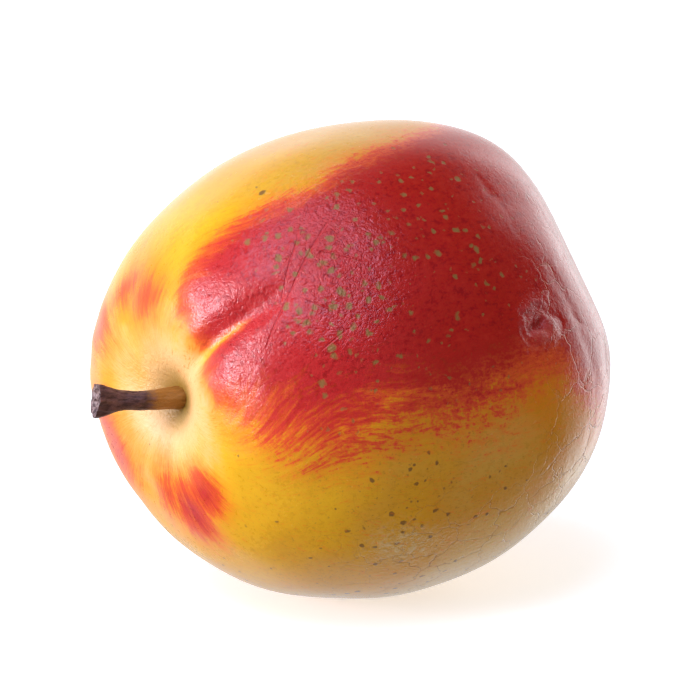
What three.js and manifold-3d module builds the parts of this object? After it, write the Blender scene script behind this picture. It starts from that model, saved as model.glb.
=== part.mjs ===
// A ripe nectarine lying on its side, with its woody stem still in it.
// Millimetres. +Z is up, and the fruit rests on a small flat spot at Z = 0.
// Its stem end faces -X and its blossom end faces +X.

import * as THREE from 'three';
import { mergeVertices } from 'three/addons/utils/BufferGeometryUtils.js';
import Module from 'manifold-3d';

const wasm = await Module();
wasm.setup();

// ---------- driving dimensions, mm and degrees ----------

// The fruit: half of its length, breadth and height before the swells are added.
const HALF_LENGTH = 32.8;
const HALF_BREADTH = 31.55;
const HALF_HEIGHT = 31.4;

// Swells and hollows of the flesh. Each has a place (tilt from the stem end, turn about
// the fruit's axis from the top towards -Y), a width, and the height that it adds.
const SWELLS = [
  { tilt: 128, turn: 15, width: 22, height: 4.4 },
  { tilt: 142, turn: 42, width: 12, height: -1.7 }, // where the crease ends
  { tilt: 140, turn: 100, width: 24, height: 3.8 },
  { tilt: 118, turn: 138, width: 22, height: 1.25 },
  { tilt: 40, turn: -95, width: 22, height: 2.85 },
  { tilt: 60, turn: -165, width: 22, height: 1.3 },
  { tilt: 125, turn: -130, width: 30, height: 2.2 }, // the far side
  { tilt: 110, turn: -60, width: 30, height: 1.0 },
  { tilt: 105, turn: 172, width: 18, height: 0.8 }, // the side it lies on, under its weight
];

// The stem cavity is a wide shallow bowl with a narrower pit at its middle.
const BOWL_DEPTH = 4.0;
const BOWL_WIDTH = 24;
const PIT_DEPTH = 2.5;
const PIT_WIDTH = 10;

// The crease runs out of the cavity on one meridian and fades on the cheek.
const CREASE_TURN = 44;
const CREASE_DEPTH = 1.3;
const CREASE_HALF_WIDTH = 2.2; // mm across the skin
const CREASE_START = 12;
const CREASE_END = 48;
const CREASE_FADE_IN = 8; // degrees of tilt to either side of its start
const CREASE_FADE_OUT = 13; // and of its end

// The blossom end has a small shallow dimple.
const DIMPLE_DEPTH = 1.1;
const DIMPLE_WIDTH = 9;

// The flat spot that the fruit lies on: how much of the round it takes away.
const RESTING_CUT = 0.55;

// The stem: its centre line from inside the socket out to the broken end, measured from
// the middle of the fruit, and its radius along the way. It flares where it broke off.
const STEM_LINE = [[-24.6, -0.1, -0.5], [-28.2, 0.15, -0.2], [-34.3, 1.2, 0.3], [-38.4, 2.4, 0.95]];
const STEM_RADII = [1.75, 1.65, 1.5, 1.38, 1.3, 1.25, 1.25, 1.35, 1.8, 2.35];
const STEM_KNOBS = 0.1; // how far the bark stands out of round, as a part of the radius
const KNOBS_AROUND = 2; // knobs round the stem, and how many radians they wind along it
const KNOBS_WIND = 5;
const KNOBS_ALONG = 9; // radians that they rise and fall through along the stem
const STEM_END_HOLLOW = 0.5;
const SOCKET_CLEARANCE = 0.3;

// Mesh fineness.
const ROUND_STEPS = 64;
const LENGTH_STEPS = 40;
const STEM_ROUND_STEPS = 18;
const STEM_LENGTH_STEPS = 20;
const CAVITY_CROWDING = 0.22; // how strongly the rings gather near the stem
const WELD_DISTANCE = 0.001;
const TINY = 1e-6;

// Finishes of the plain model.
const SKIN_COLOUR = 0xc8482a;
const SKIN_ROUGHNESS = 0.35;
const BARK_COLOUR = 0x5a3630;
const BARK_ROUGHNESS = 0.7;

// ---------- small tools ----------

const radians = THREE.MathUtils.degToRad;

// The direction at a tilt from the stem end (-X) and a turn from +Z towards -Y.
function direction(tilt, turn) {
  const t = radians(tilt);
  const a = radians(turn);
  return new THREE.Vector3(-Math.cos(t), -Math.sin(t) * Math.sin(a), Math.sin(t) * Math.cos(a));
}

function bell(distance, width) {
  return Math.exp(-((distance / width) ** 2));
}

function stepUp(from, to, x) {
  return THREE.MathUtils.smoothstep(x, from, to);
}

// Only positions, with shared vertices merged.
function welded(geometry) {
  geometry.deleteAttribute('normal');
  geometry.deleteAttribute('uv');
  return mergeVertices(geometry, WELD_DISTANCE);
}

function solid(geometry) {
  return new wasm.Manifold(new wasm.Mesh({
    numProp: 3,
    vertProperties: new Float32Array(geometry.attributes.position.array),
    triVerts: new Uint32Array(geometry.index.array),
  }));
}

function geometryOf(manifold) {
  const mesh = manifold.getMesh();
  const geometry = new THREE.BufferGeometry();
  geometry.setAttribute('position', new THREE.BufferAttribute(new Float32Array(mesh.vertProperties), 3));
  geometry.setIndex(new THREE.BufferAttribute(new Uint32Array(mesh.triVerts), 1));
  geometry.computeVertexNormals();
  return geometry;
}

// ---------- the fruit ----------

// Distance from the fruit's middle to its skin along a unit direction.
function skinDistance(u) {
  const tilt = THREE.MathUtils.radToDeg(Math.acos(THREE.MathUtils.clamp(-u.x, -1, 1)));
  const turn = Math.atan2(-u.y, u.z);
  let r = 1 / Math.hypot(u.x / HALF_LENGTH, u.y / HALF_BREADTH, u.z / HALF_HEIGHT);
  for (const s of SWELLS) {
    const nearness = u.dot(direction(s.tilt, s.turn)) - 1;
    r += s.height * Math.exp(nearness / radians(s.width) ** 2);
  }
  const acrossCrease = r * Math.sin(radians(tilt)) * Math.sin(turn - radians(CREASE_TURN));
  const onCreaseSide = Math.cos(turn - radians(CREASE_TURN)) > 0 ? 1 : 0;
  const alongCrease = stepUp(CREASE_START - CREASE_FADE_IN, CREASE_START + CREASE_FADE_IN, tilt)
    * (1 - stepUp(CREASE_END - CREASE_FADE_OUT, CREASE_END + CREASE_FADE_OUT, tilt));
  r -= BOWL_DEPTH * bell(tilt, BOWL_WIDTH) + PIT_DEPTH * bell(tilt, PIT_WIDTH);
  r -= CREASE_DEPTH * onCreaseSide * alongCrease * bell(acrossCrease, CREASE_HALF_WIDTH);
  r -= DIMPLE_DEPTH * bell(180 - tilt, DIMPLE_WIDTH);
  return r;
}

// A ball of rings around the fruit's axis, with each point moved out to the skin.
function fleshGeometry() {
  const ball = new THREE.SphereGeometry(1, ROUND_STEPS, LENGTH_STEPS);
  ball.rotateZ(Math.PI / 2); // its first pole now faces -X
  const points = ball.attributes.position;
  const u = new THREE.Vector3();
  for (let i = 0; i < points.count; i += 1) {
    u.fromBufferAttribute(points, i);
    const tilt = Math.acos(THREE.MathUtils.clamp(-u.x, -1, 1));
    const round = Math.hypot(u.y, u.z);
    const gathered = tilt - CAVITY_CROWDING * Math.sin(tilt) - CAVITY_CROWDING * Math.sin(2 * tilt) / 2;
    if (round > TINY) {
      const scale = Math.sin(gathered) / round;
      u.set(-Math.cos(gathered), u.y * scale, u.z * scale);
    } else {
      u.set(Math.sign(u.x), 0, 0);
    }
    const r = skinDistance(u);
    points.setXYZ(i, u.x * r, u.y * r, u.z * r);
  }
  return welded(ball);
}

// ---------- the stem ----------

// A rod bent along the stem's line. Its radius follows STEM_RADII, stands out in low knobs
// and is larger all over, its ends included, by the margin.
function stemGeometry(margin, hollow) {
  const line = new THREE.CatmullRomCurve3(STEM_LINE.map((p) => new THREE.Vector3(...p)));
  const rod = new THREE.CylinderGeometry(1, 1, 1, STEM_ROUND_STEPS, STEM_LENGTH_STEPS);
  const points = rod.attributes.position;
  const up = new THREE.Vector3(0, 0, 1);
  const p = new THREE.Vector3();
  for (let i = 0; i < points.count; i += 1) {
    p.fromBufferAttribute(points, i);
    const along = 0.5 - p.y; // 0 in the socket, 1 at the broken end
    const out = Math.min(1, Math.hypot(p.x, p.z));
    const around = Math.atan2(p.z, p.x);
    const place = along * (STEM_RADII.length - 1);
    const k = Math.min(STEM_RADII.length - 2, Math.floor(place));
    const radius = THREE.MathUtils.lerp(STEM_RADII[k], STEM_RADII[k + 1], place - k);
    const knobs = 1 + STEM_KNOBS * Math.sin(KNOBS_AROUND * around + KNOBS_WIND * along)
      * Math.sin(KNOBS_ALONG * along + around);
    const centre = line.getPoint(along);
    const tangent = line.getTangent(along);
    const side = new THREE.Vector3().crossVectors(up, tangent).normalize();
    const top = new THREE.Vector3().crossVectors(tangent, side);
    const reach = out * (radius * knobs + margin);
    let pushed = 0;
    if (along < TINY) pushed = -margin;
    if (along > 1 - TINY) pushed = margin - hollow * (1 - out);
    centre.addScaledVector(side, reach * Math.cos(around));
    centre.addScaledVector(top, reach * Math.sin(around));
    centre.addScaledVector(tangent, pushed);
    points.setXYZ(i, centre.x, centre.y, centre.z);
  }
  return welded(rod);
}

// ---------- cutting and putting together ----------

const flesh = solid(fleshGeometry());
const lowest = flesh.boundingBox().min[2];
const restingHeight = lowest + RESTING_CUT;

const slab = new THREE.BoxGeometry(4 * HALF_LENGTH, 4 * HALF_LENGTH, HALF_LENGTH);
slab.translate(0, 0, restingHeight - HALF_LENGTH / 2);
const socket = solid(stemGeometry(SOCKET_CLEARANCE, 0));
const fruitSolid = flesh.subtract(solid(welded(slab))).subtract(socket);

function piece(name, geometry, colour, roughness) {
  const material = new THREE.MeshStandardMaterial({ color: colour, roughness, metalness: 0 });
  const mesh = new THREE.Mesh(geometry, material);
  mesh.name = name;
  return mesh;
}

const nectarine = new THREE.Group();
const asItLies = new THREE.Group();
asItLies.add(piece('fruit', geometryOf(fruitSolid), SKIN_COLOUR, SKIN_ROUGHNESS));
asItLies.add(piece('stem', stemGeometry(0, STEM_END_HOLLOW), BARK_COLOUR, BARK_ROUGHNESS));
nectarine.add(asItLies);

// The origin is under the middle of the whole thing, on the surface it lies on.
const box = new THREE.Box3().setFromObject(asItLies, true);
const middle = box.getCenter(new THREE.Vector3());
asItLies.position.set(-middle.x, -middle.y, -box.min.z);

export default nectarine;
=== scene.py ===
import math

import bpy
import numpy as np
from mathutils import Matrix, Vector


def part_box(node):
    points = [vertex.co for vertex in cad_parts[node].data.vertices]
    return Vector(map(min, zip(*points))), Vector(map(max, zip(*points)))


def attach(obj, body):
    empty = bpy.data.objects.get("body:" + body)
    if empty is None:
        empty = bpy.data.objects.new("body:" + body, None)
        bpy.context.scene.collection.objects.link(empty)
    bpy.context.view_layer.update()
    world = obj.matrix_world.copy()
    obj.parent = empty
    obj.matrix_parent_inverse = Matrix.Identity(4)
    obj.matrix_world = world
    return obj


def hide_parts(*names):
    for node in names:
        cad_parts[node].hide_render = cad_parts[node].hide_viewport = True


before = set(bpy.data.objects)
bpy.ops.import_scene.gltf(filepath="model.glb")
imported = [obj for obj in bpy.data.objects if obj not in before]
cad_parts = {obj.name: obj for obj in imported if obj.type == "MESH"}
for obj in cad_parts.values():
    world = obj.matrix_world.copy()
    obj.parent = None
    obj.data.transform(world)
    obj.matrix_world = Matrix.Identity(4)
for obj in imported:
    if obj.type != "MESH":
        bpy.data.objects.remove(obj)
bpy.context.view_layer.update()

# --------------------------------------------------
# The fruit: one grown piece of flesh in a thin waxy skin, lying on its side.
# Its stem end faces -X. A crease runs from the stem cavity along one side, the
# skin has a puckered scar on the cheek, and it is flat where it lies.
# --------------------------------------------------

MM = 0.001
FRUIT_LOW, FRUIT_HIGH = (np.array(corner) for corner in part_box("fruit"))

# Half of the length, breadth and height before the swells are added, in mm.
HALF_LENGTH, HALF_BREADTH, HALF_HEIGHT = 32.8, 31.55, 31.4

# Swells and hollows: tilt from the stem end and turn from the top towards -Y, both
# in degrees, then width in degrees and height in mm.
SWELLS = (
    (128, 15, 22, 4.4),
    (142, 42, 12, -1.7),
    (140, 100, 24, 3.8),
    (118, 138, 22, 1.25),
    (40, -95, 22, 2.85),
    (60, -165, 22, 1.3),
    (125, -130, 30, 2.2),
    (110, -60, 30, 1.0),
    (105, 172, 18, 0.8),
)
BOWL = (4.0, 24)  # depth in mm and width in degrees
PIT = (2.5, 10)
DIMPLE = (1.1, 9)
CREASE_TURN = 44
CREASE_DEPTH, CREASE_HALF_WIDTH = 1.3, 2.2
CREASE_START, CREASE_END = (4, 20), (35, 61)  # where it fades in and out, in degrees of tilt

# The scar on the cheek: its place, its pit, and the folds round it. A fold is a line of
# points, in mm towards the blossom end and towards the underside, with the half-width
# and the height in mm. A negative height is a groove.
SCAR_TILT, SCAR_TURN = 108, 70
SCAR_FOLDS = (
    (((-1.3, 0.7), (-0.2, 0.3), (1.0, 0.0)), 0.50, -0.40),
    (((-2.0, -0.9), (-0.2, -1.4), (2.1, -1.5)), 0.50, -0.10),
    (((-1.9, -1.9), (0.2, -2.6), (2.4, -2.5)), 0.70, 0.12),
    (((2.6, -0.8), (3.6, -0.1), (4.5, 0.7)), 0.60, -0.10),
    (((-3.6, -2.0), (-3.1, -1.0), (-3.6, 0.3)), 0.70, 0.08),
    (((2.1, 0.9), (2.4, 1.6), (1.4, 2.2), (0.3, 2.1)), 1.00, 0.32),
    (((-2.8, 1.6), (-2.2, 2.6), (-1.8, 3.6)), 0.55, -0.12),
)
# Long folds of slack skin towards the blossom end, as tilt and turn in degrees.
SLACK_FOLDS = (
    (((107, 31), (109, 40), (111, 49)), 0.60, -0.06),
    (((107, 35), (112, 40), (119, 38)), 0.50, -0.07),
    (((124, 41), (128, 50), (122, 56)), 0.80, -0.12),
    (((117, 58), (122, 71), (125, 80), (127, 90), (124, 105)), 1.00, -0.18),
    (((121, 70), (128, 75), (135, 78)), 0.50, -0.12),
    (((120, 88), (127, 92), (135, 96)), 0.45, -0.12),
    (((131, 22), (134, 42), (136, 64), (134, 88)), 1.40, -0.20),
    (((118, 110), (122, 118), (117, 128)), 0.70, -0.10),
)
SLACK_TILT = 122  # where the slack folds are, so where a degree of their turn is measured
SLACK_SIDE = 90  # the turn in the middle of those that the slack folds may have

# All the folds wobble by smooth waves, in mm, and the slack ones vary in strength.
WOBBLE_HEIGHT, WOBBLE_WAVES, WOBBLE_SEEDS = 0.22, {"length": 2.6, "count": 10}, (21, 22)
SLACK_STRENGTH, SLACK_CHANGE = 0.42, 0.2
SLACK_WAVES = {"length": 12, "count": 10, "seed": 33}
WAVE_SPREAD = (0.7, 1.4)  # shortest and longest step in phase, as shares of the usual one

# Shallow dents all over, deeper ones at a tilt near the stem, and the hollow round the
# scar. Heights and widths are in mm, apart from the width in tilt, in degrees.
DENT_HEIGHT, DENT_WAVES = 0.10, {"length": 13, "count": 14, "seed": 4}
STEM_DENT_HEIGHT, STEM_DENT_WAVES = 0.07, {"length": 6, "count": 12, "seed": 9}
STEM_DENT_TILT, STEM_DENT_WIDTH = 28, 14
SCAR_HOLLOW, SCAR_HOLLOW_WIDTH = 0.25, 4.5
SKIN_SINK = 0.12  # all of the skin lies this much lower, so that no dent stands proud

# The grid of the skin. Its lines are closer at the stem cavity and the scar: by how much,
# and over what width in degrees.
SKIN_RINGS, SKIN_COLUMNS = 330, 286
CLOSER_AT_STEM, CLOSER_AT_SCAR = (1.5, 14), (2.2, 9)
CLOSER_COLUMNS, CLOSER_CHEEK = (2.4, 11), (0.5, 80)
MM_PER_DEGREE = HALF_BREADTH * math.radians(1)  # along the skin


def bell(x, width):
    """1 at x = 0, falling to 1/e at x = width."""
    return np.exp(-((x / width) ** 2))


def rise(low, high, x):
    """0 up to low, 1 from high, and the cubic 3t^2 - 2t^3 between."""
    t = np.clip((x - low) / (high - low), 0, 1)
    return t * t * (3 - 2 * t)


def turned(turn, centre):
    """The turn from centre, in degrees from -180 to 180."""
    return (turn - centre + 180) % 360 - 180


def direction(tilt, turn):
    """Unit vector at a tilt from -X and a turn about X from +Z towards -Y."""
    t, a = np.radians(tilt), np.radians(turn)
    return np.stack([-np.cos(t), -np.sin(t) * np.sin(a), np.sin(t) * np.cos(a)], axis=-1)


def skin_distance(tilt, turn):
    """Distance in mm from the fruit's middle to its skin: an ellipsoid, plus each swell's
    height times exp((cos(angle to it) - 1) / width^2), less the cavity and the crease."""
    u = direction(tilt, turn)
    r = 1 / np.sqrt((u[..., 0] / HALF_LENGTH) ** 2 + (u[..., 1] / HALF_BREADTH) ** 2
                    + (u[..., 2] / HALF_HEIGHT) ** 2)
    for at_tilt, at_turn, width, height in SWELLS:
        nearness = u @ direction(at_tilt, at_turn) - 1
        r += height * np.exp(nearness / math.radians(width) ** 2)
    off = np.radians(turned(turn, CREASE_TURN))
    across = r * np.sin(np.radians(tilt)) * np.sin(off)
    along = rise(*CREASE_START, tilt) * (1 - rise(*CREASE_END, tilt))
    r -= BOWL[0] * bell(tilt, BOWL[1]) + PIT[0] * bell(tilt, PIT[1])
    r -= CREASE_DEPTH * (np.cos(off) > 0) * along * bell(across, CREASE_HALF_WIDTH)
    r -= DIMPLE[0] * bell(180 - tilt, DIMPLE[1])
    return r


def scar_place(tilt, turn):
    """Where a point lies from the scar: mm towards the blossom end, mm towards the
    underside, and the distance."""
    along = (tilt - SCAR_TILT) * MM_PER_DEGREE
    down = turned(turn, SCAR_TURN) * MM_PER_DEGREE * np.sin(np.radians(tilt))
    return along, down, np.hypot(along, down)


def waves(points, length, count, seed):
    """A smooth random height of about -1 to 1: waves of about one length, each with its own
    direction and phase, added up and divided by the square root of their number."""
    draw = np.random.default_rng(seed)
    total = np.zeros(points.shape[:-1])
    for _ in range(count):
        way = draw.normal(size=3)
        way *= 2 * np.pi / length * draw.uniform(*WAVE_SPREAD) / np.linalg.norm(way)
        total += np.sin(points @ way + draw.uniform(0, 2 * np.pi))
    return total / math.sqrt(count)


def line_distance(x, y, points):
    """Least distance from (x, y) to the straight pieces between the points."""
    least = np.full(np.shape(x), np.inf)
    for (x0, y0), (x1, y1) in zip(points, points[1:]):
        share = ((x - x0) * (x1 - x0) + (y - y0) * (y1 - y0)) / ((x1 - x0) ** 2 + (y1 - y0) ** 2)
        share = np.clip(share, 0, 1)
        least = np.minimum(least, np.hypot(x - x0 - share * (x1 - x0), y - y0 - share * (y1 - y0)))
    return least


def skin_relief(tilt, turn, points):
    """Small shapes of the skin in mm, outwards: shallow dents all over, deeper ones near
    the stem, and the folds, each a height times exp(-(distance / half-width)^2)."""
    relief = DENT_HEIGHT * waves(points, **DENT_WAVES)
    relief += STEM_DENT_HEIGHT * waves(points, **STEM_DENT_WAVES) * bell(
        tilt - STEM_DENT_TILT, STEM_DENT_WIDTH)
    along, down, distance = scar_place(tilt, turn)
    wobble_x, wobble_y = (
        WOBBLE_HEIGHT * waves(points, **WOBBLE_WAVES, seed=seed) for seed in WOBBLE_SEEDS)
    for line, half_width, height in SCAR_FOLDS:
        off = line_distance(along + wobble_x, down + wobble_y, line)
        relief += height * bell(off, half_width)
    relief -= SCAR_HOLLOW * bell(distance, SCAR_HOLLOW_WIDTH)
    mm_per_turn = MM_PER_DEGREE * np.sin(np.radians(SLACK_TILT))
    across = tilt * MM_PER_DEGREE + wobble_x
    around = (turned(turn, SLACK_SIDE) + SLACK_SIDE) * mm_per_turn + wobble_y
    strength = SLACK_STRENGTH + SLACK_CHANGE * waves(points, **SLACK_WAVES)
    for places, half_width, height in SLACK_FOLDS:
        line = [(at_tilt * MM_PER_DEGREE, at_turn * mm_per_turn) for at_tilt, at_turn in places]
        relief += height * bell(line_distance(across, around, line), half_width) * strength
    return relief - SKIN_SINK


# How the strokes bend round the stem: by how many degrees at most, from which tilt to which,
# and how far to each side of a turn just below the crease.
BEND_MOST, BEND_TILTS = 38, (60, 16)
BEND_CENTRE, BEND_SIDE, BEND_WIDTH = CREASE_TURN + 6, 52, 34


def stroke_turn(tilt, turn):
    """The turn that a stroke of the blush keeps along its way. Strokes run along the fruit,
    but near the stem they bend round it, away from the crease on both sides."""
    off = turned(turn, BEND_CENTRE)
    bend = BEND_MOST * rise(*BEND_TILTS, tilt)
    sides = bell(off - BEND_SIDE, BEND_WIDTH) - bell(off + BEND_SIDE, BEND_WIDTH)
    return BEND_CENTRE + off - bend * sides


def spaced(count, density, low, high):
    """count + 1 values from low to high that lie closer together where density is high."""
    fine = np.linspace(low, high, 4001)  # far more than the lines of any grid
    share = np.concatenate([[0], np.cumsum(density((fine[1:] + fine[:-1]) / 2))])
    return np.interp(np.linspace(0, share[-1], count + 1), share, fine)


def with_poles(rings):
    """The rings with the first and the last one said twice, for closed_mesh to draw in."""
    return np.concatenate([rings[:1], rings, rings[-1:]])


def pole_and_rings(rings):
    """One row for each point of a closed mesh: the first ring drawn in to its mean, each
    point of the rings between, and the last ring drawn in to its mean."""
    inner = rings[1:-1].reshape(-1, *rings.shape[2:])
    return np.concatenate([[rings[0].mean(axis=0)], inner, [rings[-1].mean(axis=0)]])


def closed_mesh(name, rings):
    """A closed mesh of rings of points, each joined to the next. The first and the last
    ring are poles, each joined to its neighbour by a fan of triangles."""
    count, columns = len(rings) - 2, rings.shape[1]
    points = pole_and_rings(rings)
    row = 1 + np.arange(count - 1)[:, None] * columns
    column = np.arange(columns)[None, :]
    after = (column + 1) % columns
    quads = np.stack([row + column, row + after, row + columns + after,
                      row + columns + column], axis=-1).reshape(-1, 4)
    last = len(points) - 1
    end = 1 + (count - 1) * columns
    start_fan = np.stack([np.zeros(columns, int), 1 + after[0], 1 + column[0]], axis=-1)
    end_fan = np.stack([np.full(columns, last), end + column[0], end + after[0]], axis=-1)
    corners = np.concatenate([start_fan.ravel(), quads.ravel(), end_fan.ravel()])
    sizes = np.concatenate([np.full(columns, 3), np.full(len(quads), 4), np.full(columns, 3)])
    starts = np.concatenate([[0], np.cumsum(sizes)[:-1]])
    mesh = bpy.data.meshes.new(name)
    mesh.vertices.add(len(points))
    mesh.vertices.foreach_set("co", points.astype(np.float32).ravel())
    mesh.loops.add(len(corners))
    mesh.loops.foreach_set("vertex_index", corners.astype(np.int32))
    mesh.polygons.add(len(sizes))
    mesh.polygons.foreach_set("loop_start", starts.astype(np.int32))
    mesh.update(calc_edges=True)
    mesh.polygons.foreach_set("use_smooth", np.ones(len(sizes), bool))
    mesh.validate()
    piece = bpy.data.objects.new(name, mesh)
    bpy.context.collection.objects.link(piece)
    return piece


def paint_attribute(piece, name, rings):
    """Stores one value or vector for each point of a closed mesh made from rings."""
    kind, entry = ("FLOAT", "value") if rings.ndim == 2 else ("FLOAT_VECTOR", "vector")
    values = pole_and_rings(rings)
    layer = piece.data.attributes.new(name, kind, "POINT")
    layer.data.foreach_set(entry, values.astype(np.float32).ravel())


def closeness(off, how):
    """How much closer than elsewhere the lines of the grid lie, off degrees from a place."""
    return how[0] * bell(off, how[1])


tilts = spaced(
    SKIN_RINGS,
    lambda t: 1 + closeness(t, CLOSER_AT_STEM) + closeness(t - SCAR_TILT, CLOSER_AT_SCAR),
    0, 180)
turns = spaced(
    SKIN_COLUMNS,
    lambda a: 1 + closeness(a - SCAR_TURN, CLOSER_COLUMNS) + closeness(a - SCAR_TURN, CLOSER_CHEEK),
    SCAR_TURN - 180, SCAR_TURN + 180)[:-1]
tilt, turn = np.meshgrid(tilts, turns, indexing="ij")
unit = direction(tilt, turn)
reach = skin_distance(tilt, turn)
skin = unit * (reach + skin_relief(tilt, turn, unit * reach[..., None]))[..., None]

# The smooth skin is set into the solid's box: sideways by its middle, and downwards
# from the top, so that its underside is pressed flat on the surface it lies on.
skin_low, skin_high = skin.min(axis=(0, 1)) * MM, skin.max(axis=(0, 1)) * MM
fruit_middle = (FRUIT_LOW + FRUIT_HIGH - skin_low - skin_high) / 2
fruit_middle[2] = FRUIT_HIGH[2] - skin_high[2]
skin = fruit_middle + skin * MM
PRESS_SOFTNESS = 0.12 * MM
skin[..., 2] = FRUIT_LOW[2] + PRESS_SOFTNESS * np.logaddexp(
    0, (skin[..., 2] - FRUIT_LOW[2]) / PRESS_SOFTNESS)
skin = np.clip(skin, FRUIT_LOW, FRUIT_HIGH)

fruit = closed_mesh("fruit_skin", skin)

# Where the skin is red, in mm inside (+) or outside (-) the edge of the blush. The main
# blush lies between an upper and a lower edge, each a turn in degrees for a tilt.
UPPER_EDGE = ((15, 14), (30, 4), (40, 6), (50, 11), (60, 15), (70, 18), (80, 14), (95, 13),
              (110, 8), (125, -8), (150, -24), (180, -28))
LOWER_EDGE = ((15, 66), (25, 84), (32, 90), (40, 96), (48, 99), (56, 95), (64, 90), (72, 88),
              (80, 89), (90, 90), (97, 88), (104, 85), (112, 85), (120, 92), (130, 104),
              (150, 114), (180, 116))
# Red patches: tilt, turn, half-size along each in degrees, and strength in mm.
PATCHES = (
    (26, 146, 7, 15, 4.6),
    (29, 163, 9, 13, 4.4),
    (25, 180, 6, 10, 1.6),
    (31, -42, 4, 15, 1.2),
    (26, -22, 4, 12, 1.2),
    (30, -68, 6, 13, 1.6),
    (28, -128, 6, 24, 2.0),
    (64, -122, 14, 20, 1.4),
    (97, -92, 18, 14, 1.2),
)

# The blush starts and ends at these tilts, each moved by a wave round the fruit: its
# height in degrees, how many there are, and where the first one is in degrees.
STEM_EDGE, STEM_EDGE_WAVE = 21, (2.0, 5, 0)
BLOSSOM_EDGE, BLOSSOM_EDGE_WAVE = 160, (8, 3, 40)
LOWER_FADE = 0.5  # the lower edge is this much as steep as the upper one
LEAST_GIRTH = 0.25  # near a pole a turn counts as at this share of the girth
# The bare crease: its half-width in mm, what it gains for each degree nearer the stem than
# a tilt, how steep its edge is, and from which tilt on it closes, in mm for each degree.
BARE_HALF, BARE_GAIN, BARE_TILT = 0.06, 0.08, 30
BARE_STEEP, BARE_CLOSING, BARE_END = 4.5, 1.0, 34
BARE_TURN = CREASE_TURN + 1
BLUSH_LIMIT = 12  # deeper than this is as deep, in mm
EDGE_ROUNDING = (-3, -1.5, 0, 1.5, 3)


def edge(points, at):
    """The edge's turn at each tilt: straight between its points, then rounded off by the
    mean of its values at EDGE_ROUNDING degrees from there."""
    xs, ys = np.array(points, float).T
    return sum(np.interp(at + s, xs, ys) for s in EDGE_ROUNDING) / len(EDGE_ROUNDING)


def wave_round(turn, wave):
    """A sine round the fruit: its height, its count, and its start in degrees."""
    return wave[0] * np.sin(np.radians(turn * wave[1] + wave[2]))


def blush_depth(tilt, turn):
    """The signed distance in mm from the edge of the blush: for the main one the least of
    the distances to its edges and its two ends, and the greatest of it and the patches."""
    girth = MM_PER_DEGREE * np.maximum(np.sin(np.radians(tilt)), LEAST_GIRTH)
    from_top = turned(turn, edge(UPPER_EDGE, tilt)) * girth
    to_bottom = turned(edge(LOWER_EDGE, tilt), turn) * girth * LOWER_FADE
    from_stem = (tilt - STEM_EDGE - wave_round(turn, STEM_EDGE_WAVE)) * MM_PER_DEGREE
    from_blossom = (BLOSSOM_EDGE - tilt + wave_round(turn, BLOSSOM_EDGE_WAVE)) * MM_PER_DEGREE
    depth = np.minimum(np.minimum(from_top, to_bottom), np.minimum(from_stem, from_blossom))
    off_crease = np.abs(turned(turn, BARE_TURN)) * girth
    bare = BARE_HALF + BARE_GAIN * np.maximum(BARE_TILT - tilt, 0)
    closing = BARE_CLOSING * np.maximum(tilt - BARE_END, 0)
    depth = np.minimum(depth, BARE_STEEP * (off_crease - bare) + closing)
    for at_tilt, at_turn, half_tilt, half_turn, strength in PATCHES:
        far = np.hypot((tilt - at_tilt) / half_tilt, turned(turn, at_turn) / half_turn)
        depth = np.maximum(depth, strength * (1 - far))
    return np.clip(depth, -BLUSH_LIMIT, BLUSH_LIMIT)


def around_place(at_tilt, half_tilt, at_turn, half_turn):
    """For each point of the skin, 1 at a tilt and a turn, falling to 1/e at the
    half-widths, all in degrees."""
    return bell(tilt - at_tilt, half_tilt) * bell(turned(turn, at_turn), half_turn)


def along_turn(low, high, at_turn, half_turn):
    """For each point of the skin, a strip along the fruit: 0 up to a tilt and 1 from
    another, times 1 at a turn, falling to 1/e at its half-width, all in degrees."""
    return rise(low, high, tilt) * bell(turned(turn, at_turn), half_turn)


paint_attribute(fruit, "blush", blush_depth(tilt, turn))
paint_attribute(fruit, "tilt", tilt)

# How far, in mm, strokes of red reach over the edge of the blush: everywhere, at its lower
# edge, where they are shorter in the far half, at its upper edge, under the stem, and at
# the blossom end. A strip is from tilt, to tilt, turn and half-width.
RAGGED_LEAST, RAGGED_BELOW, RAGGED_ABOVE, RAGGED_STEM, RAGGED_FAR = 1.3, 2.9, 1.7, 1.6, 4.0
BELOW_STRIP, BELOW_CUT, BELOW_CUT_TILTS = (24, 40, 90, 26), 0.8, (92, 104)
ABOVE_STRIP, STEM_PLACE = (30, 50, 10, 16), (28, 12, 160, 30)
FAR_TILTS, FAR_SIDE = (112, 140), (60, 60)
paint_attribute(
    fruit, "ragged",
    RAGGED_LEAST
    + RAGGED_BELOW * along_turn(*BELOW_STRIP) * (1 - BELOW_CUT * rise(*BELOW_CUT_TILTS, tilt))
    + RAGGED_ABOVE * along_turn(*ABOVE_STRIP)
    + RAGGED_STEM * around_place(*STEM_PLACE)
    + RAGGED_FAR * rise(*FAR_TILTS, tilt) * (1 - bell(turned(turn, FAR_SIDE[0]), FAR_SIDE[1])))

# Places from the scar, and a place that is drawn out along the strokes.
along, down, scar_far = scar_place(tilt, turn)
paint_attribute(fruit, "scar", np.stack([along, down, scar_far], axis=-1))
stroke = np.radians(stroke_turn(tilt, turn))
paint_attribute(fruit, "grain", np.stack([
    HALF_BREADTH * np.cos(stroke), HALF_BREADTH * np.sin(stroke), tilt * MM_PER_DEGREE], axis=-1))

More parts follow.
